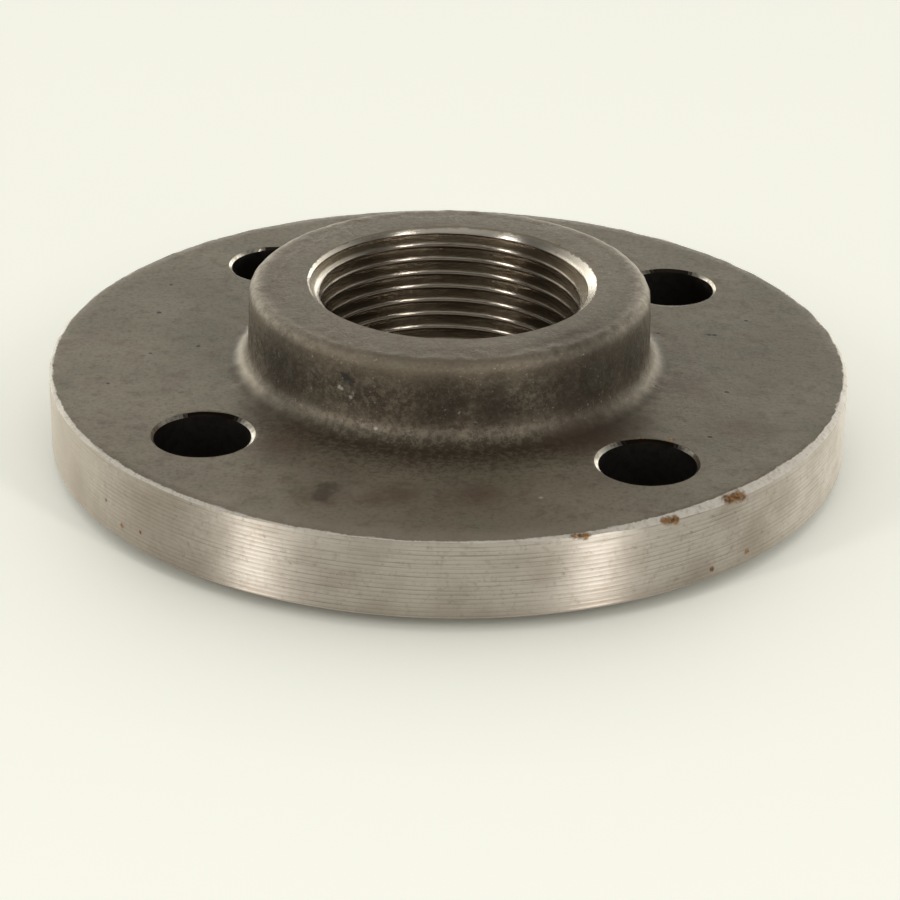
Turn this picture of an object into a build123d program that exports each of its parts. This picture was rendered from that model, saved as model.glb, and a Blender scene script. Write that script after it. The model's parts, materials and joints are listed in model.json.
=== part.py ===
from build123d import *
from math import radians, tan
import os

os.makedirs("parts", exist_ok=True)

# Threaded hubbed pipe flange with a raised sealing face, one forged and machined piece.
# Lengths are millimetres and angles are degrees. Z = 0 is the sealing face, and +Z runs
# along the pipe axis towards the hub.

# Rim, turned on its outside and its underside
rim_d = 120.0
rim_thickness = 12.0
rim_top_chamfer = 0.7
rim_bottom_chamfer = 0.5

# Raised sealing face
raised_face_d = 70.0
raised_face_height = 2.0
raised_face_edge = 0.3
raised_face_root = 0.5

# Hub, forged with draft, a root fillet and a rounded lip
hub_d = 60.0
hub_height = 12.5
hub_draft = 2.0
hub_root_r = 3.0
hub_lip_r = 2.0

# Whitworth pipe thread: the bore is cut at the crests of the thread
thread_major_d = 41.91
thread_pitch = 25.4 / 11
thread_flank_angle = 27.5
thread_entry_margin = 0.7

# Bolt holes, astride the centre lines
bolt_circle_d = 90.0
bolt_count = 4
bolt_hole_d = 14.0
bolt_hole_edge = 0.5

# Heights
rim_top_z = raised_face_height + rim_thickness
hub_top_z = rim_top_z + hub_height

# A Whitworth thread rounds a sixth of its sharp form away at the crest and at the root
sharp_depth = thread_pitch / (2 * tan(radians(thread_flank_angle)))
thread_depth = sharp_depth * 2 / 3
bore_d = thread_major_d - 2 * thread_depth
entry_d = thread_major_d + thread_entry_margin
entry_chamfer = (entry_d - bore_d) / 2

# Radii of the drafted hub at its top and where it meets the rim
hub_top_r = hub_d / 2
hub_base_r = hub_top_r + hub_height * tan(radians(hub_draft))


def circles_at(part, radius, z):
    """The circular edges of a part that have this radius and lie at this height."""
    round_edges = part.edges().filter_by(GeomType.CIRCLE)
    return [
        edge
        for edge in round_edges
        if abs(edge.radius - radius) < 0.01 and abs(edge.arc_center.Z - z) < 0.01
    ]


with BuildPart() as flange:
    # Half section of the blank, from the axis out to the rim and back over the hub
    with BuildSketch(Plane.XZ):
        with BuildLine():
            Polyline(
                (0, 0),
                (raised_face_d / 2, 0),
                (raised_face_d / 2, raised_face_height),
                (rim_d / 2, raised_face_height),
                (rim_d / 2, rim_top_z),
                (hub_base_r, rim_top_z),
                (hub_top_r, hub_top_z),
                (0, hub_top_z),
                close=True,
            )
        make_face()
    revolve(axis=Axis.Z)

    # Forged forms of the hub
    fillet(circles_at(flange, hub_base_r, rim_top_z), hub_root_r)
    fillet(circles_at(flange, hub_top_r, hub_top_z), hub_lip_r)

    # Turned edges of the rim and of the sealing face
    chamfer(circles_at(flange, rim_d / 2, rim_top_z), rim_top_chamfer)
    chamfer(circles_at(flange, rim_d / 2, raised_face_height), rim_bottom_chamfer)
    chamfer(circles_at(flange, raised_face_d / 2, raised_face_height), raised_face_root)
    chamfer(circles_at(flange, raised_face_d / 2, 0), raised_face_edge)

    # Pipe bore, with an entry chamfer to just past the thread's roots at each end
    Hole(radius=bore_d / 2)
    bore_mouths = circles_at(flange, bore_d / 2, 0) + circles_at(flange, bore_d / 2, hub_top_z)
    chamfer(bore_mouths, entry_chamfer)

    # Bolt holes, each with its edge broken at both ends
    with Locations((0, 0, rim_top_z)):
        with PolarLocations(bolt_circle_d / 2, bolt_count, start_angle=180 / bolt_count):
            Hole(radius=bolt_hole_d / 2)
    bolt_mouths = circles_at(flange, bolt_hole_d / 2, raised_face_height)
    bolt_mouths += circles_at(flange, bolt_hole_d / 2, rim_top_z)
    chamfer(bolt_mouths, bolt_hole_edge)

flange.part.label = "flange"
export_step(flange.part, "parts/flange.step")
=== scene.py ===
import json
from math import cos, pi, radians, sin, sqrt, tan

import bpy
import numpy as np
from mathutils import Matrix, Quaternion, Vector


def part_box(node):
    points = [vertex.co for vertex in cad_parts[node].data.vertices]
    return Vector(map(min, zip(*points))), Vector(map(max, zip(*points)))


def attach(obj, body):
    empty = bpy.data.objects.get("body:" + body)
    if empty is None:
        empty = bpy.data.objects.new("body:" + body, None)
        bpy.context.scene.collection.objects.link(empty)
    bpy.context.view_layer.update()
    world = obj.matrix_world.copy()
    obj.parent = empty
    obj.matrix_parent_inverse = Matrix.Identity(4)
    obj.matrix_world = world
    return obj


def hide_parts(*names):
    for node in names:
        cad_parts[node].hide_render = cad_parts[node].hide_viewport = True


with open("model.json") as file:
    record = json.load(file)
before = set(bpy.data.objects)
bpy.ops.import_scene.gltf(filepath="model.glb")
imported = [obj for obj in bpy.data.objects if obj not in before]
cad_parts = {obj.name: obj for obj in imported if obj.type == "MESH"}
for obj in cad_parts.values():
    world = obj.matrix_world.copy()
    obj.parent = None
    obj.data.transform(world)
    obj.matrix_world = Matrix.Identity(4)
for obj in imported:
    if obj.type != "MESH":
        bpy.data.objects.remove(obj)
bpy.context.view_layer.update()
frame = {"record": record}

# Lengths are metres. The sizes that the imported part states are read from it.
MM = 0.001
mounts = {mount["name"]: mount for mount in frame["record"]["mounts"]}
box_low, box_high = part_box("flange")
RIM_R = box_high.x
HUB_TOP_Z = box_high.z
CREST_R = mounts["pipe_thread"]["dims"]["r_mm"] * MM
BOLT_CIRCLE_R = mounts["bolt_circle"]["dims"]["pcd_mm"] / 2 * MM
BOLT_HOLE_R = mounts["bolt_circle"]["dims"]["hole_r_mm"] * MM
BOLT_COUNT = mounts["bolt_circle"]["dims"]["count"]
THREAD_LENGTH = mounts["pipe_thread"]["dims"]["length_mm"] * MM

# Sizes of the solid that no mount states
RAISED_FACE_R = 35.0 * MM
RAISED_FACE_HEIGHT = 2.0 * MM
RAISED_FACE_EDGE = 0.3 * MM
RAISED_FACE_ROOT = 0.5 * MM
RIM_FACE_Z = 14.0 * MM
RIM_CHAMFER = 0.7 * MM
RIM_BOTTOM_CHAMFER = 0.5 * MM
HUB_TOP_R = 30.0 * MM
HUB_DRAFT = radians(2.0)
HUB_ROOT_R = 3.0 * MM
HUB_LIP_R = 2.0 * MM
BOLT_HOLE_EDGE = 0.5 * MM
ENTRY_CHAMFER = (HUB_TOP_Z - THREAD_LENGTH) / 2
ENTRY_R = CREST_R + ENTRY_CHAMFER

# The upper entry chamfer was cut a little off the axis, so it is wider on the +X side
ENTRY_OFFSET = 0.33 * MM

# The broken edge of each bolt hole on the rim's face is wider on the side of the hub
MOUTH_OFFSET = 0.12 * MM

# Dents in the forged skin, as a point, a radius and a depth in millimetres
DENTS = [((-11.7, -28.0, 22.2), 1.3, 0.3), ((17.3, -55.4, 14), 1.2, 0.12), ((-45.5, -30.5, 14), 1.0, 0.1)]

# Whitworth pipe thread
PITCH = 25.4 / 11 * MM
FLANK_ANGLE = radians(27.5)
THREAD_ROUNDING = 0.137329 * PITCH
THREAD_DEPTH = PITCH / (2 * tan(FLANK_ANGLE)) * 2 / 3
CREST_AT_BACK_Z = 17.17 * MM
BACK_ANGLE = radians(93.4)

# Pitch of the turned grooves round the rim
RIM_GROOVE = 2 / 3 * MM

# Mesh density: columns round the axis, and half the columns and rows that a bolt hole takes
COLUMNS = 240
HOLE_HALF = 8
HOLE_BLOCK = 8.4 * MM
COLLAR_R = 24.9 * MM

# Material slots of the one mesh
SCALE, TURNED, THREAD, DRILLED, FACED, DEBURRED, WORN = range(7)

# Bare metal along the rim's upper edge, beyond its least width. Each entry is the middle and
# the reach of a stretch, in degrees round the axis, and how much wider it is, in millimetres.
LEAST_EDGE = 0.45
WORN_EDGES = [(-150, 40, 0.12), (-90, 30, -0.24), (-44, 30, 0.7), (-22, 24, 0.35), (-6, 16, 0.3)]

angles = np.arange(COLUMNS) * 2 * pi / COLUMNS


def waves(points, size, seed, count=24):
    """Smooth random heights of about unit size, with bumps of about this width."""
    random = np.random.default_rng(seed)
    directions = random.normal(size=(count, 3))
    directions /= np.linalg.norm(directions, axis=1, keepdims=True)
    lengths = size * random.uniform(0.7, 1.5, count)
    phases = random.uniform(0, 2 * pi, count)
    turns = points @ (directions / lengths[:, None]).T * 2 * pi + phases
    return np.cos(turns).sum(axis=1) * sqrt(2 / count)


def round_waves(angle, slowest, fastest, seed):
    """A smooth random value round the axis, with so many waves in a turn."""
    random = np.random.default_rng(seed)
    orders = np.arange(slowest, fastest + 1)
    phases = random.uniform(0, 2 * pi, len(orders))
    strengths = random.uniform(0.5, 1, len(orders)) / np.sqrt(len(orders))
    return (np.cos(np.outer(angle, orders) + phases) * strengths).sum(axis=1)


def edge_width(angle):
    """Width of the bare metal along the rim's upper edge, in millimetres."""
    width = np.full(angle.shape, LEAST_EDGE)
    for middle, reach, extra in WORN_EDGES:
        away = np.abs((np.degrees(angle) - middle + 180) % 360 - 180) / reach
        near = np.clip(1 - away, 0, 1)
        width += extra * near * near * (3 - 2 * near)
    return width


def forged_height(points, roughness):
    """How far the forged skin lies below its nominal surface, never above it. It starts
    from nothing at the collar, where the turned mouth of the bore begins."""
    broad = 0.012 * MM * (1 + roughness) * (waves(points, 22 * MM, 11) - 2)
    middle = 0.006 * MM * (1 + roughness) * (waves(points, 5 * MM, 12) - 2)
    grain = roughness * (0.03 * MM * waves(points, 2.2 * MM, 13) - 0.03 * MM)
    radius = np.hypot(points[:, 0], points[:, 1])
    fade = np.clip((radius - COLLAR_R) / (1.5 * MM), 0, 1)
    height = np.minimum(broad + middle + grain, 0) * fade
    for place, reach, depth in DENTS:
        away = np.linalg.norm(points / MM - place, axis=1) / reach
        height -= depth * MM * np.exp(-2 * away * away)
    return height


class Shell:
    """One closed skin, built ring by ring."""

    def __init__(self):
        self.points = []
        self.total = 0
        self.faces = []
        self.zones = []

    def ring(self, points):
        start = self.total
        self.points.append(points)
        self.total += len(points)
        return np.arange(start, self.total)

    def face(self, corners, zone):
        self.faces.append(tuple(int(corner) for corner in corners))
        self.zones.append(zone)

    def band(self, before, after, zone, gaps=()):
        """Faces between two closed rings. gaps are the columns that stay open."""
        for a0, a1, b0, b1, column in zip(
            before, np.roll(before, -1), after, np.roll(after, -1), range(len(before))
        ):
            if column not in gaps:
                self.face((a0, b0, b1, a1), zone)

    def mesh(self, name):
        used = sorted({corner for face in self.faces for corner in face})
        renumber = {old: new for new, old in enumerate(used)}
        points = np.concatenate(self.points)[used]
        faces = [[renumber[corner] for corner in face] for face in self.faces]
        mesh = bpy.data.meshes.new(name)
        mesh.from_pydata(points.tolist(), [], faces)
        mesh.polygons.foreach_set("material_index", self.zones)
        mesh.polygons.foreach_set("use_smooth", [True] * len(faces))
        mesh.validate()
        return mesh


def ring_points(radius, height):
    """Points of one ring, from a radius and a height that may change round the axis."""
    radius = np.broadcast_to(radius, angles.shape)
    height = np.broadcast_to(height, angles.shape)
    return np.column_stack((radius * np.cos(angles), radius * np.sin(angles), height))


def steps(start, end, count):
    """Values from start to end, without start."""
    return np.linspace(start, end, count + 1)[1:]


def hub_wall_r(z):
    return HUB_TOP_R + (HUB_TOP_Z - z) * tan(HUB_DRAFT)


def arc(centre, radius, start, end, count):
    """Points of an arc in the section, with their outward normals for a convex edge."""
    turn = np.radians(np.linspace(start, end, count + 1))
    normals = np.column_stack((np.cos(turn), np.sin(turn)))
    return np.array(centre) + radius * normals, normals


def forged_section():
    """Section of the forged skin, from the collar on the hub's end to the rim's face.
    Each row is radius, height, normal and roughness."""
    draft = np.degrees(HUB_DRAFT)
    lip_centre_r = HUB_TOP_R - HUB_LIP_R * (1 - sin(HUB_DRAFT)) / cos(HUB_DRAFT)
    lip, lip_normals = arc((lip_centre_r, HUB_TOP_Z - HUB_LIP_R), HUB_LIP_R, 90, draft, 7)
    root_z = RIM_FACE_Z + HUB_ROOT_R
    root_r = HUB_TOP_R + (HUB_ROOT_R - (root_z - HUB_TOP_Z) * sin(HUB_DRAFT)) / cos(HUB_DRAFT)
    root, root_normals = arc((root_r, root_z), HUB_ROOT_R, 180 + draft, 270, 8)
    top = np.linspace(COLLAR_R, lip[0][0], 6)
    rows = [(r, HUB_TOP_Z, 0, 1, rough) for r, rough in zip(top, np.linspace(0.6, 1.0, 6))]
    rows += [(r, z, nr, nz, 1.0) for (r, z), (nr, nz) in zip(lip[1:], lip_normals[1:])]
    wall = np.linspace(lip[-1], root[0], 14)[1:-1]
    rows += [
        (r, z, cos(HUB_DRAFT), sin(HUB_DRAFT), rough)
        for (r, z), rough in zip(wall, np.linspace(1.03, 1.37, 12))
    ]
    rows += [
        (r, z, -nr, -nz, rough)
        for (r, z), (nr, nz), rough in zip(root, root_normals, np.linspace(1.4, 1.2, 9))
    ]
    block_start = BOLT_CIRCLE_R - HOLE_BLOCK
    block_end = BOLT_CIRCLE_R + HOLE_BLOCK
    rows += [
        (r, RIM_FACE_Z, 0, 1, rough)
        for r, rough in zip(steps(root_r, block_start, 3), (0.85, 0.5, 0.3))
    ]
    rows += [(r, RIM_FACE_Z, 0, 1, 0.3) for r in steps(block_start, block_end, 2 * HOLE_HALF)]
    rows += [(r, RIM_FACE_Z, 0, 1, 0.3) for r in steps(block_end, RIM_R - 2 * MM, 4)]
    return rows


def rim_profile():
    """Heights and depths of the turned grooves across the rim, from its top down."""
    depth = 0.05 * MM
    bottom = RAISED_FACE_HEIGHT + RIM_BOTTOM_CHAMFER
    count = 15
    top = bottom + count * RIM_GROOVE
    random = np.random.default_rng(5)
    depths = depth * random.uniform(0.6, 1.0, count)
    rows = []
    for index in range(count):
        for share in (0, 0.25, 0.5, 0.75):
            z = top + (bottom - top) * (index + share) / count
            rows.append((z, depths[index] * (1 - (2 * share - 1) ** 2)))
    return rows + [(bottom, 0)]


def bolt_columns():
    """The column at the middle of each bolt hole."""
    first = COLUMNS // (2 * BOLT_COUNT)
    return [first + index * COLUMNS // BOLT_COUNT for index in range(BOLT_COUNT)]


def block_loop(rows, middle):
    """The mesh points round one bolt hole's block, anticlockwise from above.
    rows run from the inner radius to the outer."""
    left = (middle - HOLE_HALF) % COLUMNS
    right = (middle + HOLE_HALF) % COLUMNS
    across = [(middle + step) % COLUMNS for step in range(-HOLE_HALF, HOLE_HALF + 1)]
    loop = [row[left] for row in rows[:-1]]
    loop += [rows[-1][column] for column in across[:-1]]
    loop += [row[right] for row in rows[:0:-1]]
    loop += [rows[0][column] for column in across[:0:-1]]
    return np.array(loop)


def bolt_hole(shell, middle, lower_rows, upper_rows):
    """Wall and edges of one bolt hole, from the underside's block to the face's block."""
    centre_angle = angles[middle]
    centre = np.array((cos(centre_angle), sin(centre_angle))) * BOLT_CIRCLE_R
    lower = block_loop(lower_rows, middle)
    upper = block_loop(upper_rows, middle)
    turn = centre_angle + radians(225) + np.arange(len(upper)) * 2 * pi / len(upper)
    known = np.concatenate(shell.points)
    mouth_r = BOLT_HOLE_R + BOLT_HOLE_EDGE

    def circle(radius, z, inwards=0.0):
        x = centre[0] + radius * np.cos(turn) - inwards * cos(centre_angle)
        y = centre[1] + radius * np.sin(turn) - inwards * sin(centre_angle)
        return np.column_stack((x, y, np.full(len(turn), z)))

    def towards(loop, z, shares, roughness, inwards=0.0):
        rings = []
        mouth = circle(mouth_r, z, inwards)
        for share in shares:
            points = known[loop] * (1 - share) + mouth * share
            points[:, 2] = z
            if roughness:
                points[:, 2] += forged_height(points, roughness)
            rings.append(shell.ring(points))
        return rings

    under = [lower] + towards(lower, RAISED_FACE_HEIGHT, (0.3, 0.6, 0.85, 1), 0)
    over = towards(upper, RIM_FACE_Z, (1, 0.85, 0.6, 0.3), 0.3, MOUTH_OFFSET) + [upper]
    wall_low = RAISED_FACE_HEIGHT + BOLT_HOLE_EDGE
    wall_high = RIM_FACE_Z - BOLT_HOLE_EDGE
    wall = [shell.ring(circle(BOLT_HOLE_R, z)) for z in np.linspace(wall_low, wall_high, 7)]
    for before, after in zip(under, under[1:]):
        shell.band(before, after, FACED)
    shell.band(under[-1], wall[0], DEBURRED)
    for before, after in zip(wall, wall[1:]):
        shell.band(before, after, DRILLED)
    shell.band(wall[-1], over[0], DEBURRED)
    for before, after in zip(over, over[1:]):
        shell.band(before, after, SCALE)


def thread_steps():
    """Offsets along the axis from a crest to the next, with the depth of the thread there."""
    tangent = pi / 2 - FLANK_ANGLE
    half = THREAD_ROUNDING * sin(tangent / 2)
    full = THREAD_ROUNDING * sin(tangent)
    half_depth = THREAD_ROUNDING * (1 - cos(tangent / 2))
    full_depth = THREAD_ROUNDING * (1 - cos(tangent))
    rise = [(0, 0), (half, half_depth), (full, full_depth), (PITCH / 4, THREAD_DEPTH / 2)]
    rise += [(PITCH / 2 - z, THREAD_DEPTH - d) for z, d in rise[2:0:-1]]
    fall = [(PITCH - z, d) for z, d in rise[:0:-1]]
    return rise + [(PITCH / 2, THREAD_DEPTH)] + fall


def threaded_bore(shell, bottom_collar, top_collar):
    """Both entry chamfers and the helical thread between them. The mesh rows follow the
    helix, so a row that has gone once round meets the row one pitch above it."""
    cycle = thread_steps()
    per_turn = len(cycle)
    reach = COLLAR_R - ENTRY_R - 2 * ENTRY_OFFSET - 0.3 * MM
    crest_start = CREST_AT_BACK_Z - PITCH * BACK_ANGLE / (2 * pi)
    first_turn = int(np.floor(-crest_start / PITCH)) - 1
    last_turn = int(np.ceil((HUB_TOP_Z - crest_start) / PITCH))
    natural = [
        crest_start + (turn * PITCH) + z for turn in range(first_turn, last_turn) for z, _ in cycle
    ]
    natural.append(crest_start + last_turn * PITCH)
    depths = [depth for _ in range(first_turn, last_turn) for _, depth in cycle] + [0]
    along = np.array(natural)[:, None] + PITCH * angles[None, :] / (2 * pi)
    corner_rows = []
    for edge in (0.0, HUB_TOP_Z):
        nearest = np.abs(along - edge).argmin(axis=0)
        along[nearest, np.arange(COLUMNS)] = edge
        corner_rows.append(nearest)
    z = np.clip(along, 0, HUB_TOP_Z)
    beyond = np.abs(along - z) * reach / (2 * PITCH)
    upper_entry = ENTRY_R + ENTRY_OFFSET * (1 + np.cos(angles))
    cone = np.maximum(ENTRY_R - z, upper_entry - (HUB_TOP_Z - z))
    wear = 0.012 * MM * waves(
        np.column_stack(
            ((CREST_R * np.cos(angles) + 0 * z).ravel(), (CREST_R * np.sin(angles) + 0 * z).ravel(), z.ravel())
        ),
        1.6 * MM,
        31,
    ).reshape(z.shape)
    helix = CREST_R + np.array(depths)[:, None] + np.maximum(wear, 0)
    radius = np.maximum(helix, cone) + beyond
    rows = [
        shell.ring(np.column_stack((r * np.cos(angles), r * np.sin(angles), height)))
        for r, height in zip(radius, z)
    ]
    rings = np.array(rows)

    def zone(low, high):
        if low >= HUB_TOP_Z:
            return SCALE
        return FACED if high <= 0 else THREAD

    for row in range(len(rows) - 1):
        for column in range(COLUMNS):
            turn_end = column == COLUMNS - 1
            right = row + per_turn if turn_end else row
            if right + 1 >= len(rows):
                continue
            next_column = (column + 1) % COLUMNS
            a0, b0 = rings[row, column], rings[row + 1, column]
            a1, b1 = rings[right, next_column], rings[right + 1, next_column]
            low = min(along[row, column], along[right, next_column])
            high = max(along[row + 1, column], along[right + 1, next_column])
            corner = next(
                (e for e in (0.0, HUB_TOP_Z) if low < e < high), None
            )
            if corner is not None:
                shell.face((a0, b0, a1), zone(low, corner))
                shell.face((b0, b1, a1), zone(corner, high))
            else:
                shell.face((a0, b0, b1, a1), zone(low, high))

    last = len(rows) - 1
    for column in range(COLUMNS - 1):
        shell.face(
            (bottom_collar[column], rings[0, column], rings[0, column + 1], bottom_collar[column + 1]),
            FACED,
        )
        shell.face(
            (rings[last, column], top_collar[column], top_collar[column + 1], rings[last, column + 1]),
            SCALE,
        )
    step_down = [rings[row, 0] for row in range(per_turn, -1, -1)]
    shell.face([bottom_collar[-1], rings[0, -1]] + step_down + [bottom_collar[0]], FACED)
    step_up = [rings[row, -1] for row in range(last - per_turn, last + 1)]
    shell.face([top_collar[-1], top_collar[0], rings[last, 0]] + step_up, SCALE)


def build_flange():
    """The whole flange as one closed skin, from the hub's end outwards, down the rim and
    back along the underside to the bore."""
    shell = Shell()
    rings = []
    zones = []
    for r, z, nr, nz, roughness in forged_section():
        nominal = ring_points(r, z)
        height = forged_height(nominal, roughness)
        rings.append(shell.ring(ring_points(r + nr * height, z + nz * height)))
        zones.append(SCALE)
    face_rows = rings[-(2 * HOLE_HALF + 1) - 4 : -4]
    upper_first = len(rings) - 4 - (2 * HOLE_HALF + 1)

    def add(radius, height, zone):
        rings.append(shell.ring(ring_points(radius, height)))
        zones.append(zone)

    # The chamfer on the rim's upper edge wanders in width, as the forged face is not true
    face_leg = MM * (edge_width(angles) + 0.15 * round_waves(angles, 9, 60, 21))
    face_leg = np.clip(face_leg, 0.15 * MM, 1.6 * MM)
    rim_leg = np.clip(face_leg * 0.7, 0.15 * MM, 1.0 * MM)
    edge = ring_points(RIM_R - face_leg, RIM_FACE_Z)
    add(RIM_R - face_leg, RIM_FACE_Z + forged_height(edge, 0.3), SCALE)
    add(RIM_R, RIM_FACE_Z - rim_leg, WORN)
    for z, depth in rim_profile():
        add(RIM_R - depth, z, TURNED)
    add(RIM_R - RIM_BOTTOM_CHAMFER, RAISED_FACE_HEIGHT, TURNED)

    # Underside of the rim
    block_start = BOLT_CIRCLE_R - HOLE_BLOCK
    block_end = BOLT_CIRCLE_R + HOLE_BLOCK
    for r in steps(RIM_R - RIM_BOTTOM_CHAMFER, block_end, 2):
        add(r, RAISED_FACE_HEIGHT, FACED)
    lower_first = len(rings) - 1
    for r in steps(block_end, block_start, 2 * HOLE_HALF):
        add(r, RAISED_FACE_HEIGHT, FACED)
    under_rows = rings[lower_first:][::-1]
    add(RAISED_FACE_R + RAISED_FACE_ROOT, RAISED_FACE_HEIGHT, FACED)

    # Raised sealing face, turned with fine concentric grooves
    add(RAISED_FACE_R, RAISED_FACE_HEIGHT - RAISED_FACE_ROOT, FACED)
    add(RAISED_FACE_R, RAISED_FACE_EDGE, FACED)
    add(RAISED_FACE_R - RAISED_FACE_EDGE, 0, FACED)
    groove = 0.8 * MM
    groove_depth = 0.04 * MM
    outer = RAISED_FACE_R - RAISED_FACE_EDGE - 0.3 * MM
    inner = COLLAR_R + 0.3 * MM
    count = round((outer - inner) / groove)
    for index in range(count):
        for share, depth in ((0, 0), (0.35, groove_depth), (0.65, groove_depth)):
            add(outer + (inner - outer) * (index + share) / count, depth, FACED)
    add(COLLAR_R, 0, FACED)

    in_blocks = {
        (middle + step) % COLUMNS
        for middle in bolt_columns()
        for step in range(-HOLE_HALF, HOLE_HALF)
    }
    upper_last = upper_first + 2 * HOLE_HALF
    lower_last = lower_first + 2 * HOLE_HALF
    for index in range(len(rings) - 1):
        open_row = upper_first <= index < upper_last or lower_first <= index < lower_last
        shell.band(rings[index], rings[index + 1], zones[index + 1], in_blocks if open_row else ())
    for middle in bolt_columns():
        bolt_hole(shell, middle, under_rows, face_rows)
    threaded_bore(shell, rings[-1], rings[0])
    return shell.mesh("flange_skin")


def link(mesh, name):
    piece = bpy.data.objects.new(name, mesh)
    bpy.context.scene.collection.objects.link(piece)
    return piece


def node(tree, kind, inputs=None, **settings):
    """One shader node. An input is a plain value, or another node's output to link."""
    made = tree.nodes.new(kind)
    for key, value in settings.items():
        setattr(made, key, value)
    for key, value in (inputs or {}).items():
        if isinstance(value, bpy.types.NodeSocket):
            tree.links.new(value, made.inputs[key])
        else:
            made.inputs[key].default_value = value
    return made


def math(tree, operation, first, second=0.0, clamp=False):
    made = node(tree, "ShaderNodeMath", {0: first, 1: second}, operation=operation, use_clamp=clamp)
    return made.outputs[0]


def noise(tree, where, scale, detail=3.0, roughness=0.55):
    """Noise between 0 and 1, with about this many bumps in a millimetre."""
    inputs = {"Vector": where, "Scale": scale, "Detail": detail, "Roughness": roughness}
    return node(tree, "ShaderNodeTexNoise", inputs).outputs["Fac"]


def ramp(tree, value, low, high, bottom=0.0, top=1.0):
    """Value taken smoothly from bottom to top as it goes from low to high."""
    inputs = {"Value": value, "From Min": low, "From Max": high, "To Min": bottom, "To Max": top}
    made = node(tree, "ShaderNodeMapRange", inputs, interpolation_type="SMOOTHSTEP")
    return made.outputs[0]


def blend(tree, share, first, second):
    """Colour first where share is 0 and second where it is 1."""
    made = node(tree, "ShaderNodeMix", {0: share, 6: first, 7: second}, data_type="RGBA")
    return made.outputs[2]


def material(name, metallic, roughness, **uniform):
    """A new material: its tree, its surface shader and its position in millimetres."""
    made = bpy.data.materials.new(name)
    made.use_nodes = True
    tree = made.node_tree
    shader = tree.nodes["Principled BSDF"]
    shader.inputs["Metallic"].default_value = metallic
    shader.inputs["Roughness"].default_value = roughness
    for key, value in uniform.items():
        shader.inputs[key.replace("_", " ")].default_value = value
    place = node(tree, "ShaderNodeTexCoord").outputs["Object"]
    scaled = node(tree, "ShaderNodeVectorMath", {0: place, "Scale": 1 / MM}, operation="SCALE")
    return made, tree, shader, scaled.outputs[0]


def axis_distance(tree, where):
    parts = node(tree, "ShaderNodeSeparateXYZ", {0: where}).outputs
    flat = node(tree, "ShaderNodeCombineXYZ", {0: parts[0], 1: parts[1]}).outputs[0]
    return node(tree, "ShaderNodeVectorMath", {0: flat}, operation="LENGTH").outputs["Value"]


def height_of(tree, where):
    return node(tree, "ShaderNodeSeparateXYZ", {0: where}).outputs[2]


def bump(tree, shader, height, depth_mm, strength=1.0):
    """Fine relief of this depth, in millimetres."""
    inputs = {"Height": height, "Distance": depth_mm * MM, "Strength": strength}
    shader_normal = node(tree, "ShaderNodeBump", inputs).outputs[0]
    tree.links.new(shader_normal, shader.inputs["Normal"])


def raggedness(tree, where):
    """Signed noise that breaks up the outlines of marks."""
    broad = math(tree, "SUBTRACT", noise(tree, where, 0.9, 2), 0.5)
    fine = math(tree, "SUBTRACT", noise(tree, where, 3.0, 3, 0.6), 0.5)
    return math(tree, "ADD", math(tree, "MULTIPLY", broad, 1.9), math(tree, "MULTIPLY", fine, 1.6))


def spots(tree, where, places, warp, ragged=1.0, soft=0.4):
    """Mask of small ragged marks. Each place is a point in millimetres and a radius."""
    warp = math(tree, "MULTIPLY", warp, ragged)
    total = None
    for point, radius in places:
        offset = node(tree, "ShaderNodeVectorMath", {0: where, 1: point}, operation="SUBTRACT")
        length = node(tree, "ShaderNodeVectorMath", {0: offset.outputs[0]}, operation="LENGTH")
        reach = math(tree, "DIVIDE", length.outputs["Value"], radius)
        mark = ramp(tree, math(tree, "ADD", reach, warp), 1 - soft, 1 + soft, 1.0, 0.0)
        total = mark if total is None else math(tree, "MAXIMUM", total, mark)
    return total


def ring_mark(tree, where, radius, z, reach):
    """Mask round a circle about the axis, fading out within reach."""
    across = math(tree, "SUBTRACT", axis_distance(tree, where), radius)
    along = math(tree, "SUBTRACT", height_of(tree, where), z)
    away = node(tree, "ShaderNodeCombineXYZ", {0: across, 1: along}).outputs[0]
    length = node(tree, "ShaderNodeVectorMath", {0: away}, operation="LENGTH")
    return ramp(tree, length.outputs["Value"], 0.0, reach, 1.0, 0.0)


def bare_edge(tree, where):
    """1 on the bare metal of the rim's upper edge and 0 on the scale, with a ragged border."""
    parts = node(tree, "ShaderNodeSeparateXYZ", {0: where}).outputs
    angle = math(tree, "DEGREES", math(tree, "ARCTAN2", parts[1], parts[0]))
    width = LEAST_EDGE
    for middle, reach, extra in WORN_EDGES:
        away = math(tree, "ABSOLUTE", math(tree, "SUBTRACT", angle, float(middle)))
        width = math(tree, "ADD", width, ramp(tree, away, 0.0, float(reach), extra, 0.0))
    inboard = math(tree, "SUBTRACT", RIM_R / MM, axis_distance(tree, where))
    below = math(tree, "SUBTRACT", RIM_FACE_Z / MM, parts[2])
    place = math(tree, "SUBTRACT", math(tree, "SUBTRACT", inboard, below), width)
    coarse = math(tree, "SUBTRACT", noise(tree, where, 0.4, 2), 0.5)
    fine = math(tree, "SUBTRACT", noise(tree, where, 2.0, 3), 0.5)
    place = math(tree, "ADD", place, math(tree, "MULTIPLY", coarse, 0.9))
    place = math(tree, "ADD", place, math(tree, "MULTIPLY", fine, 0.55))
    return ramp(tree, place, -0.12, 0.12, 1.0, 0.0)


def turned(shader, tree, roughness, anisotropy):
    """A turned surface: rough across its rings and smooth along them."""
    shader.inputs["Roughness"].default_value = roughness
    shader.inputs["Anisotropic"].default_value = anisotropy
    shader.inputs["Anisotropic Rotation"].default_value = 0.25
    along = node(tree, "ShaderNodeTangent", direction_type="RADIAL", axis="Z")
    tree.links.new(along.outputs[0], shader.inputs["Tangent"])


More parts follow.
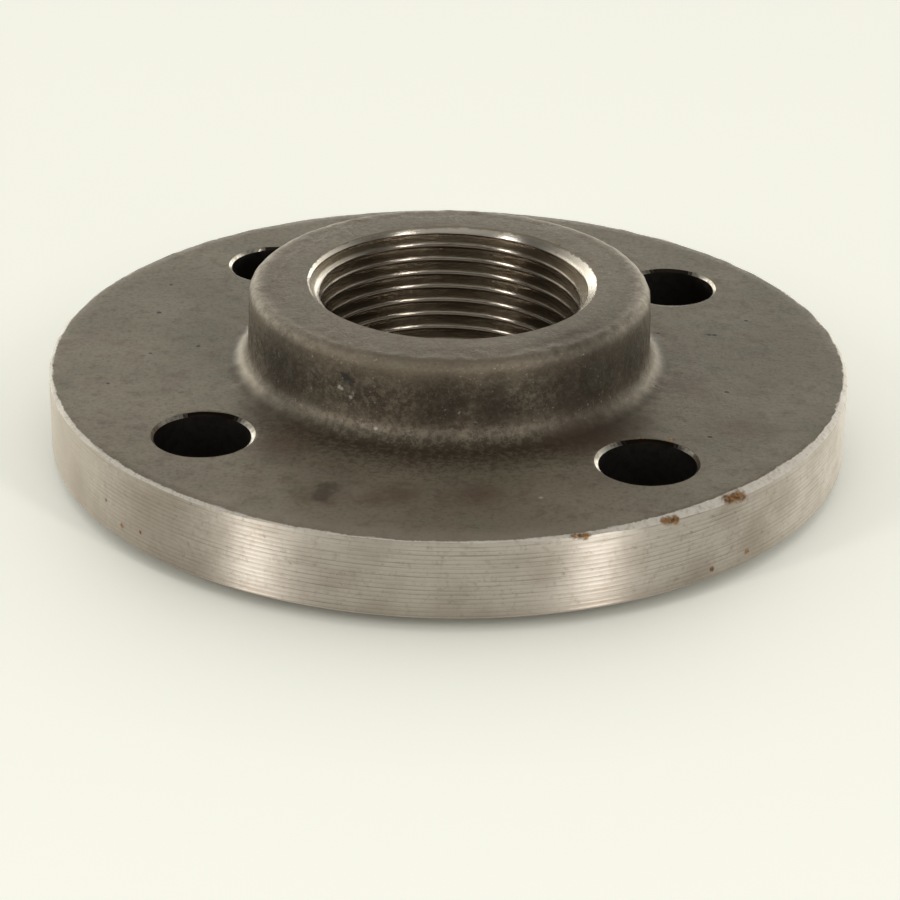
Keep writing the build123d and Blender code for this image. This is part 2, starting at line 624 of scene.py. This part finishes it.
def on_rim(angle, z):
    """A point of the rim's outside, in millimetres, from degrees and a height."""
    turn = radians(angle)
    return (RIM_R / MM * cos(turn), RIM_R / MM * sin(turn), z)


def streak(angle, z, radius):
    """Three overlapping marks in a row along the rim."""
    step = radius * 1.1
    return [(on_rim(angle + step * side, z - 0.15 * side), radius) for side in (-1, 0, 1)]


RUST = (0.36, 0.185, 0.07, 1)
RUST_DARK = (0.13, 0.065, 0.028, 1)
BROWN = (0.13, 0.078, 0.05, 1)
SCALE_GREY = (0.275, 0.238, 0.18, 1)
SCALE_DARK = (0.215, 0.178, 0.132, 1)
SCALE_GREEN = (0.205, 0.195, 0.138, 1)
SCALE_PALE = (0.34, 0.295, 0.235, 1)
SCALE_BLACK = (0.055, 0.04, 0.026, 1)
BARE_STEEL = (0.635, 0.577, 0.522, 1)

# Rust, stains, smears, pits and nicks, painted shade on the hub and painted glints, as a point and a radius in
# millimetres
EDGE_RUST = streak(-66.4, 13.9, 0.65) + streak(-53.3, 13.5, 0.7) + streak(-42.2, 13.7, 1.0)
LOW_RUST = [(on_rim(-45.9, 3.6), 0.4), (on_rim(-39.3, 4.1), 0.45), (on_rim(-133.6, 4.5), 0.4)]
LOW_RUST += [(on_rim(-137.5, 7.0), 0.3), (on_rim(-129.5, 5.2), 0.3)]
RIM_STAINS = [(on_rim(-127, 8), 11.0), (on_rim(-146, 5), 3.5), (on_rim(-140, 3.5), 3.0)]
RIM_STAINS += [(on_rim(-38, 6), 3.5), (on_rim(-31, 9), 3.0), (on_rim(-48, 4), 2.5)]
FACE_RUST = [((30.5, -24.6, 14), 0.7), ((34.9, -24.0, 14), 0.6)]
FACE_BROWN = [
    ((-2.1, -46.7, 14), 2.6),
    ((-4.6, -48.6, 14), 2.0),
    ((9.6, -45.1, 14), 2.8),
    ((23.4, -25.6, 14), 4.5),
    ((35.8, -5.3, 14), 3.5),
    ((45.2, -18.5, 14), 3.5),
    ((-12.5, -49.0, 14), 3.0),
    ((-20.0, -34.0, 14), 4.0),
]
HUB_RUST = [((13.8, 16.1, 26.5), 0.9), ((20.4, 10.6, 26.5), 0.6)]
MOUTH_RUST = [((13.9, 15.3, 26.3), 0.5), ((14.5, 14.8, 26.0), 0.45), ((14.9, 14.2, 25.9), 0.3)]
SMEARS = [((-11.4, -45.6, 14), 1.5), ((-11.8, -47.4, 14), 1.4), ((-12.1, -49.0, 14), 1.2)]
HUB_SHADE = [((2.5, -30.2, 20.0), 3.6), ((22.9, -19.4, 20.5), 8.0), ((28.0, -11.0, 20.5), 5.0), ((9.5, -28.6, 19.5), 3.2)]
HUB_SHADE += [((-22.5, -20.0, 19.5), 5.0)]
NICKS = [((-11.9, -27.8, 22.2), 0.9), ((14.6, 15.6, 26.3), 0.7), ((-11.0, -28.0, 21.6), 0.6)]
# Painted highlights, as small glints
GLINTS = [((-12.8, -27.3, 20.6), 0.3), ((-12.4, -27.5, 20.4), 0.3), ((-11.0, -28.1, 19.5), 0.3)]
GLINTS += [((-7.1, -29.7, 15.6), 0.3), ((17.8, -44.8, 14), 0.3)]
PITS = [
    ((31.0, 13.3, 14), 0.35),
    ((38.8, 13.7, 14), 0.4),
    ((39.6, 13.7, 14), 0.4),
    ((42.1, -6.9, 14), 0.35),
    ((31.6, -6.6, 14), 0.3),
    ((28.5, -11.6, 14), 0.3),
    ((40.2, -22.5, 14), 0.35),
    ((44.3, 19.9, 14), 0.3),
    ((-46.5, 9.8, 14), 0.4),
    ((-38.1, -1.7, 14), 0.35),
    ((-44.8, -5.3, 14), 0.3),
    ((-48.8, -16.8, 14), 0.3),
    ((-46.8, 21.0, 14), 0.3),
]
HUB_LIP = (HUB_TOP_R / MM - 1.0, HUB_TOP_Z / MM - 0.45)
HUB_ROOT = (HUB_TOP_R / MM + 0.8, RIM_FACE_Z / MM + 1.6)
HUB_FILLET = (HUB_TOP_R / MM + 1.45, RIM_FACE_Z / MM + 0.7)
HUB_CORNER = (HUB_TOP_R / MM + 2.6, RIM_FACE_Z / MM)


def scale_material():
    """Dark mill scale on the forged skin, rougher on the hub than on the rim's face."""
    made, tree, shader, where = material("mill_scale", 0.5, 0.4)
    parts = node(tree, "ShaderNodeSeparateXYZ", {0: where}).outputs
    warp = raggedness(tree, where)
    on_hub = ramp(tree, parts[2], 14.3, 16.0)
    broad = noise(tree, where, 0.07, 5)
    middle = noise(tree, where, 0.35, 5, 0.65)
    fine = noise(tree, where, 1.5, 5, 0.7)
    colour = blend(tree, ramp(tree, broad, 0.35, 0.65), SCALE_GREY, SCALE_DARK)
    patches = noise(tree, where, 0.14, 4, 0.6)
    colour = blend(tree, ramp(tree, patches, 0.5, 0.7, 0, 0.7), colour, SCALE_GREEN)
    colour = blend(tree, ramp(tree, patches, 0.5, 0.32, 0, 0.35), colour, BROWN)
    colour = blend(tree, ramp(tree, middle, 0.48, 0.72, 0, 0.5), colour, BROWN)
    colour = blend(tree, ramp(tree, fine, 0.48, 0.75, 0, 0.4), colour, SCALE_BLACK)
    colour = blend(tree, math(tree, "MULTIPLY", on_hub, 0.42), colour, (0.15, 0.108, 0.074, 1))
    # Painted shade darkens the right side, and painted light makes the front edge paler
    colour = blend(tree, ramp(tree, parts[0], 18.0, 48.0, 0.0, 0.2), colour, SCALE_BLACK)
    front_edge_light = math(tree, "MULTIPLY", ramp(tree, axis_distance(tree, where), 55.0, 59.0), ramp(tree, parts[1], -44.0, -56.0, 0.0, 0.45))
    colour = blend(tree, front_edge_light, colour, SCALE_PALE)
    # Painted shade darkens the hub's wall all round, more in blotches
    wall = ring_mark(tree, where, HUB_TOP_R / MM, (RIM_FACE_Z + HUB_TOP_Z) / 2 / MM, 6.5)
    wall_blotch_and_shade = ramp(tree, middle, 0.35, 0.62, 0.5, 0.95)
    colour = blend(tree, math(tree, "MULTIPLY", wall_blotch_and_shade, wall), colour, SCALE_BLACK)
    # Paler scale on the hub's lip, root and fillet, partly wear and partly painted sheen; the fillet's crescents at the
    # sides, palest at the left, are painted highlight
    lip = ring_mark(tree, where, *HUB_LIP, 2.1)
    root = ring_mark(tree, where, *HUB_ROOT, 1.35)
    patchy = ramp(tree, noise(tree, where, 1.1, 5, 0.75), 0.35, 0.62, 0.25, 0.8)
    sides = ramp(tree, parts[1], -30.0, -20.0)
    lip = math(tree, "MULTIPLY", lip, ramp(tree, sides, 0, 1, 0.45, 1.5))
    root = math(tree, "MULTIPLY", root, ramp(tree, parts[0], 5.0, 20.0, 1.0, 0.6))
    wear_and_sheen = math(tree, "MULTIPLY", math(tree, "MAXIMUM", lip, root), patchy)
    fillet_sheen = math(tree, "MULTIPLY", ring_mark(tree, where, *HUB_FILLET, 2.2), sides)
    fillet_sheen = math(tree, "MULTIPLY", fillet_sheen, ramp(tree, parts[0], -10.0, 20.0, 0.95, 0.5))
    wear_and_sheen = math(tree, "MAXIMUM", wear_and_sheen, fillet_sheen)
    colour = blend(tree, wear_and_sheen, colour, SCALE_PALE)
    # Painted shade in the corner at the hub's foot, mostly on the front
    corner = ring_mark(tree, where, *HUB_CORNER, 8.8)
    front = math(tree, "SUBTRACT", parts[1], math(tree, "MULTIPLY", parts[0], 0.12))
    corner = math(tree, "MULTIPLY", corner, ramp(tree, front, -14.0, -31.0, 0.0, 0.95))
    corner = math(tree, "MULTIPLY", corner, ramp(tree, parts[2], 14.8, 16.2, 1.0, 0.0))
    colour = blend(tree, corner, colour, SCALE_BLACK)
    # A rough crust on the hub's wall and on the face in front of it
    crust = noise(tree, where, 1.0, 4, 0.8)
    near = math(tree, "MULTIPLY", ring_mark(tree, where, *HUB_CORNER, 17.0), ramp(tree, parts[1], -18.0, -32.0))
    rugged = math(tree, "MAXIMUM", near, wall)
    lighter = math(tree, "MULTIPLY", ramp(tree, crust, 0.5, 0.57, 0.0, 0.3), rugged)
    darker = math(tree, "MULTIPLY", ramp(tree, crust, 0.49, 0.42, 0.0, 0.6), rugged)
    colour = blend(tree, lighter, colour, (0.3, 0.26, 0.185, 1))
    colour = blend(tree, darker, colour, (0.06, 0.042, 0.024, 1))
    # Painted shade in a fine dark line along the hub's foot
    foot = math(tree, "MULTIPLY", ring_mark(tree, where, *HUB_CORNER, 1.3), 0.45)
    colour = blend(tree, foot, colour, SCALE_BLACK)
    brown = math(tree, "MULTIPLY", spots(tree, where, FACE_BROWN, warp, 1.0, 0.9), 0.6)
    colour = blend(tree, brown, colour, BROWN)
    rust = math(tree, "MULTIPLY", spots(tree, where, FACE_RUST + HUB_RUST + EDGE_RUST, warp, 0.55), 0.85)
    smears = math(tree, "MULTIPLY", spots(tree, where, SMEARS, warp, 0.6), 0.5)
    shade = math(tree, "MULTIPLY", spots(tree, where, HUB_SHADE, warp, 0.5, 0.9), 0.75)
    colour = blend(tree, math(tree, "MAXIMUM", smears, shade), colour, (0.035, 0.026, 0.017, 1))
    pits = math(tree, "MAXIMUM", spots(tree, where, PITS, warp, 0.4), spots(tree, where, NICKS, warp, 0.7))
    colour = blend(tree, pits, colour, (0.03, 0.024, 0.018, 1))
    specks = ramp(tree, noise(tree, where, 2.4, 3, 0.5), 0.63, 0.74, 0, 0.38)
    specks = math(tree, "MULTIPLY", specks, ramp(tree, noise(tree, where, 0.16, 2), 0.4, 0.6, 0.1, 1.0))
    specks = math(tree, "MULTIPLY", specks, on_hub)
    # Painted highlights: small glints, counted with the pale specks on the hub and the bare metal of the rim's upper
    # edge
    glints = math(tree, "MULTIPLY", spots(tree, where, GLINTS, warp, 0.6), 0.6)
    bare = math(tree, "MAXIMUM", bare_edge(tree, where), math(tree, "MAXIMUM", glints, specks))
    colour = blend(tree, bare, colour, BARE_STEEL)
    colour = blend(tree, rust, colour, rust_colour(tree, where))
    tree.links.new(colour, shader.inputs["Base Color"])
    rough = ramp(tree, fine, 0.3, 0.7, 0.46, 0.6)
    rough = math(tree, "SUBTRACT", rough, math(tree, "MULTIPLY", bare, 0.1))
    rough = math(tree, "SUBTRACT", rough, math(tree, "MULTIPLY", wear_and_sheen, 0.1))
    tree.links.new(rough, shader.inputs["Roughness"])
    dull = math(tree, "MAXIMUM", rust, pits)
    metal = math(tree, "MULTIPLY", math(tree, "SUBTRACT", 1.0, dull), 0.3)
    metal = math(tree, "ADD", metal, math(tree, "MULTIPLY", bare, 0.1))
    metal = math(tree, "ADD", metal, math(tree, "MULTIPLY", wear_and_sheen, 0.35), clamp=True)
    tree.links.new(metal, shader.inputs["Metallic"])
    grain = noise(tree, where, 2.6, 5, 0.7)
    coarse = noise(tree, where, 0.9, 2)
    height = math(tree, "ADD", grain, math(tree, "MULTIPLY", coarse, 0.8))
    height = math(tree, "MULTIPLY", height, ramp(tree, on_hub, 0, 1, 0.35, 1.1))
    height = math(tree, "SUBTRACT", height, math(tree, "MULTIPLY", pits, 0.4))
    bump(tree, shader, height, 0.1)
    return made


def rust_colour(tree, where):
    """Orange rust with darker grains in it."""
    return blend(tree, ramp(tree, noise(tree, where, 1.6, 2), 0.42, 0.6), RUST, RUST_DARK)


def turned_material():
    """Bright turned steel of the rim, stained here and there."""
    made, tree, shader, where = material("turned_rim", 1.0, 0.4)
    turned(shader, tree, 0.42, 0.95)
    parts = node(tree, "ShaderNodeSeparateXYZ", {0: where}).outputs
    angle = math(tree, "ARCTAN2", parts[1], parts[0])
    unrolled = {0: math(tree, "MULTIPLY", angle, 6.0), 1: math(tree, "MULTIPLY", parts[2], 3.5)}
    rings = noise(tree, node(tree, "ShaderNodeCombineXYZ", unrolled).outputs[0], 1.0, 3)
    cloud = noise(tree, where, 0.12, 4)
    fine = noise(tree, where, 1.1, 5, 0.7)
    colour = blend(tree, ramp(tree, cloud, 0.4, 0.7, 0, 0.6), BARE_STEEL, (0.44, 0.38, 0.325, 1))
    colour = blend(tree, ramp(tree, fine, 0.5, 0.72, 0, 0.5), colour, (0.33, 0.275, 0.22, 1))
    colour = blend(tree, ramp(tree, rings, 0.58, 0.72, 0, 0.45), colour, (0.3, 0.25, 0.2, 1))
    # Painted shade: a fine dark line along the ridge between two turned grooves
    above = math(tree, "SUBTRACT", parts[2], (RAISED_FACE_HEIGHT + RIM_BOTTOM_CHAMFER) / MM)
    off_ridge = math(tree, "PINGPONG", above, RIM_GROOVE / MM / 2)
    ridge = math(tree, "MULTIPLY", ramp(tree, off_ridge, 0.02, 0.12, 1.0, 0.0), ramp(tree, rings, 0.35, 0.6, 0.1, 0.55))
    colour = blend(tree, ridge, colour, (0.3, 0.25, 0.205, 1))
    low = ramp(tree, parts[2], 2.2, 5.0, 0.4, 0.0)
    left = ramp(tree, parts[0], -38.0, -52.0, 0.0, 0.7)
    colour = blend(tree, math(tree, "MAXIMUM", low, left), colour, (0.42, 0.36, 0.3, 1))
    warp = raggedness(tree, where)
    stain = math(tree, "MULTIPLY", spots(tree, where, RIM_STAINS, warp, 0.8, 0.9), 0.5)
    colour = blend(tree, stain, colour, (0.36, 0.3, 0.245, 1))
    specks = math(tree, "MULTIPLY", ramp(tree, fine, 0.66, 0.72), ramp(tree, cloud, 0.45, 0.6, 0.2, 0.8))
    colour = blend(tree, specks, colour, (0.17, 0.125, 0.09, 1))
    rust = spots(tree, where, EDGE_RUST + LOW_RUST, warp, 0.55)
    colour = blend(tree, rust, colour, rust_colour(tree, where))
    tree.links.new(colour, shader.inputs["Base Color"])
    metal = math(tree, "SUBTRACT", 1.0, math(tree, "MULTIPLY", rust, 0.8))
    tree.links.new(metal, shader.inputs["Metallic"])
    bump(tree, shader, rings, 0.03)
    return made


def thread_material():
    """Cut thread with bright crests, darker on its flanks and in its roots, partly oil-brown and partly painted shade.
    """
    upper_cone = (ENTRY_R + ENTRY_OFFSET - HUB_TOP_Z) / MM
    made, tree, shader, where = material("cut_thread", 1.0, 0.3)
    turned(shader, tree, 0.26, 0.85)
    tone = noise(tree, where, 0.6, 4)
    colour = blend(tree, ramp(tree, tone, 0.4, 0.7, 0, 0.4), (0.52, 0.46, 0.405, 1), (0.34, 0.28, 0.21, 1))
    radius = axis_distance(tree, where)
    parts = node(tree, "ShaderNodeSeparateXYZ", {0: where}).outputs
    offset = math(tree, "MULTIPLY", math(tree, "DIVIDE", parts[0], radius), ENTRY_OFFSET / MM)
    upper = math(tree, "ADD", math(tree, "ADD", offset, parts[2]), upper_cone)
    lower = math(tree, "SUBTRACT", ENTRY_R / MM, parts[2])
    surface = math(tree, "MAXIMUM", math(tree, "MAXIMUM", upper, lower), CREST_R / MM)
    cone = ramp(tree, upper, CREST_R / MM, CREST_R / MM + 0.3, 0, 0.8)
    colour = blend(tree, cone, colour, (0.74, 0.68, 0.61, 1))
    # Painted shade, partly oil-brown: darker on the flanks and in the roots of the thread
    deep = ramp(tree, math(tree, "SUBTRACT", radius, surface), 0.04, 0.3)
    colour = blend(tree, deep, colour, (0.185, 0.145, 0.1, 1))
    # Scale creeps over the mouth's edge, most of all at the back
    under_edge = math(tree, "SUBTRACT", HUB_TOP_Z / MM, parts[2])
    creep = ramp(tree, parts[1], 6.0, 20.0, 0.05, 0.3)
    ragged = math(tree, "MULTIPLY", math(tree, "SUBTRACT", noise(tree, where, 1.1, 4, 0.65), 0.5), 0.9)
    inside = math(tree, "SUBTRACT", math(tree, "ADD", under_edge, ragged), creep)
    crept = ramp(tree, inside, -0.08, 0.08, 1.0, 0.0)
    colour = blend(tree, crept, colour, SCALE_GREY)
    rust = spots(tree, where, MOUTH_RUST, raggedness(tree, where), 0.5)
    colour = blend(tree, rust, colour, rust_colour(tree, where))
    tree.links.new(colour, shader.inputs["Base Color"])
    tree.links.new(math(tree, "SUBTRACT", 1.0, math(tree, "MULTIPLY", crept, 0.7)), shader.inputs["Metallic"])
    angle = math(tree, "ARCTAN2", parts[1], parts[0])
    unrolled = {
        0: math(tree, "MULTIPLY", angle, 6.0),
        1: math(tree, "MULTIPLY", parts[2], 7.0),
        2: math(tree, "MULTIPLY", radius, 7.0),
    }
    streaks = noise(tree, node(tree, "ShaderNodeCombineXYZ", unrolled).outputs[0], 1.0, 3)
    streaks = math(tree, "MULTIPLY", streaks, ramp(tree, deep, 0, 1, 0.15, 1.0))
    bump(tree, shader, streaks, 0.15)
    return made


def drilled_material():
    """Wall of a bolt hole, nearly black with painted shade."""
    made, tree, shader, where = material("drilled_hole", 0.3, 0.6)
    tone = noise(tree, where, 0.8, 4)
    # Painted shade: the wall is nearly black
    colour = blend(tree, ramp(tree, tone, 0.4, 0.7), (0.013, 0.01, 0.008, 1), (0.007, 0.005, 0.004, 1))
    tree.links.new(colour, shader.inputs["Base Color"])
    shader.inputs["Specular IOR Level"].default_value = 0.25
    bump(tree, shader, noise(tree, where, 1.5, 4), 0.1)
    return made


def faced_material():
    """Turned underside and sealing face."""
    made, tree, shader, where = material("faced_underside", 1.0, 0.34)
    turned(shader, tree, 0.38, 0.8)
    tone = noise(tree, where, 0.3, 4)
    colour = blend(tree, ramp(tree, tone, 0.4, 0.7), (0.58, 0.52, 0.46, 1), (0.44, 0.39, 0.34, 1))
    tree.links.new(colour, shader.inputs["Base Color"])
    return made


def deburred_material():
    """Steel where the bolt holes' edges are broken, with painted shade on the faces turned to the front and the back,
    and bright at the left and the right.
    """
    made, tree, shader, where = material("deburred_edge", 1.0, 0.28)
    tone = noise(tree, where, 1.2, 4)
    colour = blend(tree, ramp(tree, tone, 0.4, 0.65), (0.75, 0.69, 0.61, 1), (0.45, 0.4, 0.34, 1))
    facing = node(tree, "ShaderNodeNewGeometry").outputs["True Normal"]
    sideways = math(tree, "ABSOLUTE", node(tree, "ShaderNodeSeparateXYZ", {0: facing}).outputs[0])
    # Painted shade on the faces of the broken edge that turn to the front or the back
    colour = blend(tree, ramp(tree, sideways, 0.45, 0.28), colour, (0.028, 0.022, 0.016, 1))
    tree.links.new(colour, shader.inputs["Base Color"])
    return made


def worn_material():
    """Rubbed metal on the rim's upper edge, between ragged scale and the turned outside."""
    made, tree, shader, where = material("worn_edge", 0.3, 0.4)
    tone = noise(tree, where, 1.3, 4, 0.7)
    colour = blend(tree, ramp(tree, tone, 0.45, 0.75), (0.86, 0.8, 0.73, 1), (0.6, 0.54, 0.47, 1))
    scale = math(tree, "SUBTRACT", 1.0, bare_edge(tree, where))
    colour = blend(tree, scale, colour, SCALE_DARK)
    rust = spots(tree, where, EDGE_RUST, raggedness(tree, where), 0.55)
    colour = blend(tree, rust, colour, rust_colour(tree, where))
    tree.links.new(colour, shader.inputs["Base Color"])
    bump(tree, shader, tone, 0.1)
    return made


def make_flange():
    mesh = build_flange()
    for made in (
        scale_material(),
        turned_material(),
        thread_material(),
        drilled_material(),
        faced_material(),
        deburred_material(),
        worn_material(),
    ):
        mesh.materials.append(made)
    mesh.set_sharp_from_angle(angle=radians(40))
    piece = link(mesh, "flange_body")
    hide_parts("flange")
    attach(piece, "root")
    return piece


# Camera fitted to the photograph, with its aim on the front of the flange
AIM = Vector((2.91, -23.63, 9.89)) * MM
CAMERA_DISTANCE = 439.0 * MM
CAMERA_AZIMUTH = radians(6.03)
CAMERA_ELEVATION = radians(26.15)
CAMERA_ROLL = radians(0.91)
SENSOR = 36.0
LENS = 121.32


def make_camera():
    level = cos(CAMERA_ELEVATION)
    forward = Vector(
        (-sin(CAMERA_AZIMUTH) * level, cos(CAMERA_AZIMUTH) * level, -sin(CAMERA_ELEVATION))
    )
    data = bpy.data.cameras.new("camera")
    data.lens = LENS
    data.sensor_width = SENSOR
    camera = bpy.data.objects.new("camera", data)
    camera.location = AIM - forward * CAMERA_DISTANCE
    camera.rotation_mode = "QUATERNION"
    turn = forward.to_track_quat("-Z", "Y") @ Quaternion((0, 0, 1), CAMERA_ROLL)
    camera.rotation_quaternion = turn
    bpy.context.scene.collection.objects.link(camera)
    bpy.context.scene.camera = camera


FLOOR_LIT = (0.68, 0.68, 0.624, 1)
FLOOR_GLOW = (0.88, 0.88, 0.8, 1)
FLOOR_GLOW_STRENGTH = 0.605
FLOOR_SHADE_REACH = 36 * MM


def make_floor():
    """Pale paper that keeps the flange's shadow and stays pale for the camera and in metal."""
    size = 12.0
    mesh = bpy.data.meshes.new("floor")
    corners = [(-size, -size, 0), (size, -size, 0), (size, size, 0), (-size, size, 0)]
    mesh.from_pydata(corners, [], [(0, 1, 2, 3)])
    made = bpy.data.materials.new("floor_paper")
    made.use_nodes = True
    tree = made.node_tree
    shader = tree.nodes["Principled BSDF"]
    shader.inputs["Base Color"].default_value = FLOOR_LIT
    shader.inputs["Roughness"].default_value = 0.9
    shader.inputs["Specular IOR Level"].default_value = 0.2
    ray = node(tree, "ShaderNodeLightPath").outputs
    seen = math(tree, "MAXIMUM", ray["Is Camera Ray"], ray["Is Glossy Ray"])
    seen = math(tree, "MAXIMUM", seen, ray["Is Transmission Ray"])
    open_sky = node(tree, "ShaderNodeAmbientOcclusion", {"Distance": FLOOR_SHADE_REACH}, samples=2)
    open_sky = open_sky.outputs["AO"]
    # The shade is softer at the left and the right
    spot = node(tree, "ShaderNodeNewGeometry").outputs["Position"]
    aside = math(tree, "ABSOLUTE", node(tree, "ShaderNodeSeparateXYZ", {0: spot}).outputs[0])
    shaded = math(tree, "POWER", open_sky, ramp(tree, aside, 0.03, 0.06, 1.1, 0.5))
    strength = math(tree, "MULTIPLY", math(tree, "MULTIPLY", seen, shaded), FLOOR_GLOW_STRENGTH)
    glow = node(tree, "ShaderNodeEmission", {"Color": FLOOR_GLOW, "Strength": strength})
    both = node(tree, "ShaderNodeAddShader", {0: shader.outputs[0], 1: glow.outputs[0]})
    tree.links.new(both.outputs[0], tree.nodes["Material Output"].inputs["Surface"])
    mesh.materials.append(made)
    link(mesh, "floor")


def away_from_aim(azimuth, elevation):
    """Direction at an azimuth from the camera's side, positive to the camera's right."""
    heading = CAMERA_AZIMUTH + radians(azimuth - 90)
    rise = radians(elevation)
    return Vector((cos(heading) * cos(rise), sin(heading) * cos(rise), sin(rise)))


def lamp(name, azimuth, elevation, distance, width, height, power, colour):
    """A soft box turned to the flange."""
    data = bpy.data.lights.new(name, "AREA")
    data.shape = "RECTANGLE"
    data.size = width
    data.size_y = height
    data.energy = power
    data.color = colour
    lamp_object = bpy.data.objects.new(name, data)
    away = away_from_aim(azimuth, elevation)
    lamp_object.location = away * distance + Vector((0, 0, RIM_FACE_Z))
    lamp_object.rotation_mode = "QUATERNION"
    lamp_object.rotation_quaternion = (-away).to_track_quat("-Z", "Y")
    bpy.context.scene.collection.objects.link(lamp_object)


SKY_COLOUR = (1.0, 0.99, 0.9, 1)
SKY_EVEN = 0.13
SKY_BEHIND = 1.0
SKY_HORIZON = 1.7
SKY_FRONT = 0.35
LAMP_LEFT = 4.2
LAMP_RIGHT = 4.4


def make_light():
    """A tent that is brightest behind the flange and near the floor, and two soft boxes."""
    world = bpy.data.worlds.new("studio")
    bpy.context.scene.world = world
    world.use_nodes = True
    tree = world.node_tree
    where = node(tree, "ShaderNodeTexCoord").outputs["Generated"]
    behind = tuple(-away_from_aim(0, 0))
    towards = node(tree, "ShaderNodeVectorMath", {0: where, 1: behind}, operation="DOT_PRODUCT")
    back = ramp(tree, towards.outputs["Value"], -0.3, 0.7)
    height = node(tree, "ShaderNodeSeparateXYZ", {0: where}).outputs[2]
    low = ramp(tree, height, 0.15, 0.85, SKY_BEHIND, 0.0)
    low = math(tree, "ADD", low, ramp(tree, height, 0.05, 0.4, SKY_HORIZON, 0.0))
    glow = math(tree, "MULTIPLY", back, low)
    overhead = tuple(away_from_aim(0, 60))
    near = node(tree, "ShaderNodeVectorMath", {0: where, 1: overhead}, operation="DOT_PRODUCT")
    front = ramp(tree, near.outputs["Value"], 0.75, 1.0, 0.0, SKY_FRONT)
    glow = math(tree, "ADD", glow, front)
    sky = tree.nodes["Background"]
    sky.inputs["Color"].default_value = SKY_COLOUR
    tree.links.new(math(tree, "ADD", glow, SKY_EVEN), sky.inputs["Strength"])
    lamp("soft_box_left", -52, 22, 1.2, 0.12, 0.8, LAMP_LEFT, (1.0, 0.98, 0.93))
    lamp("soft_box_right", 41, 22, 1.2, 0.12, 0.8, LAMP_RIGHT, (1.0, 0.98, 0.93))


bpy.context.scene.view_settings.view_transform = "Standard"
make_camera()
make_flange()
make_floor()
make_light()
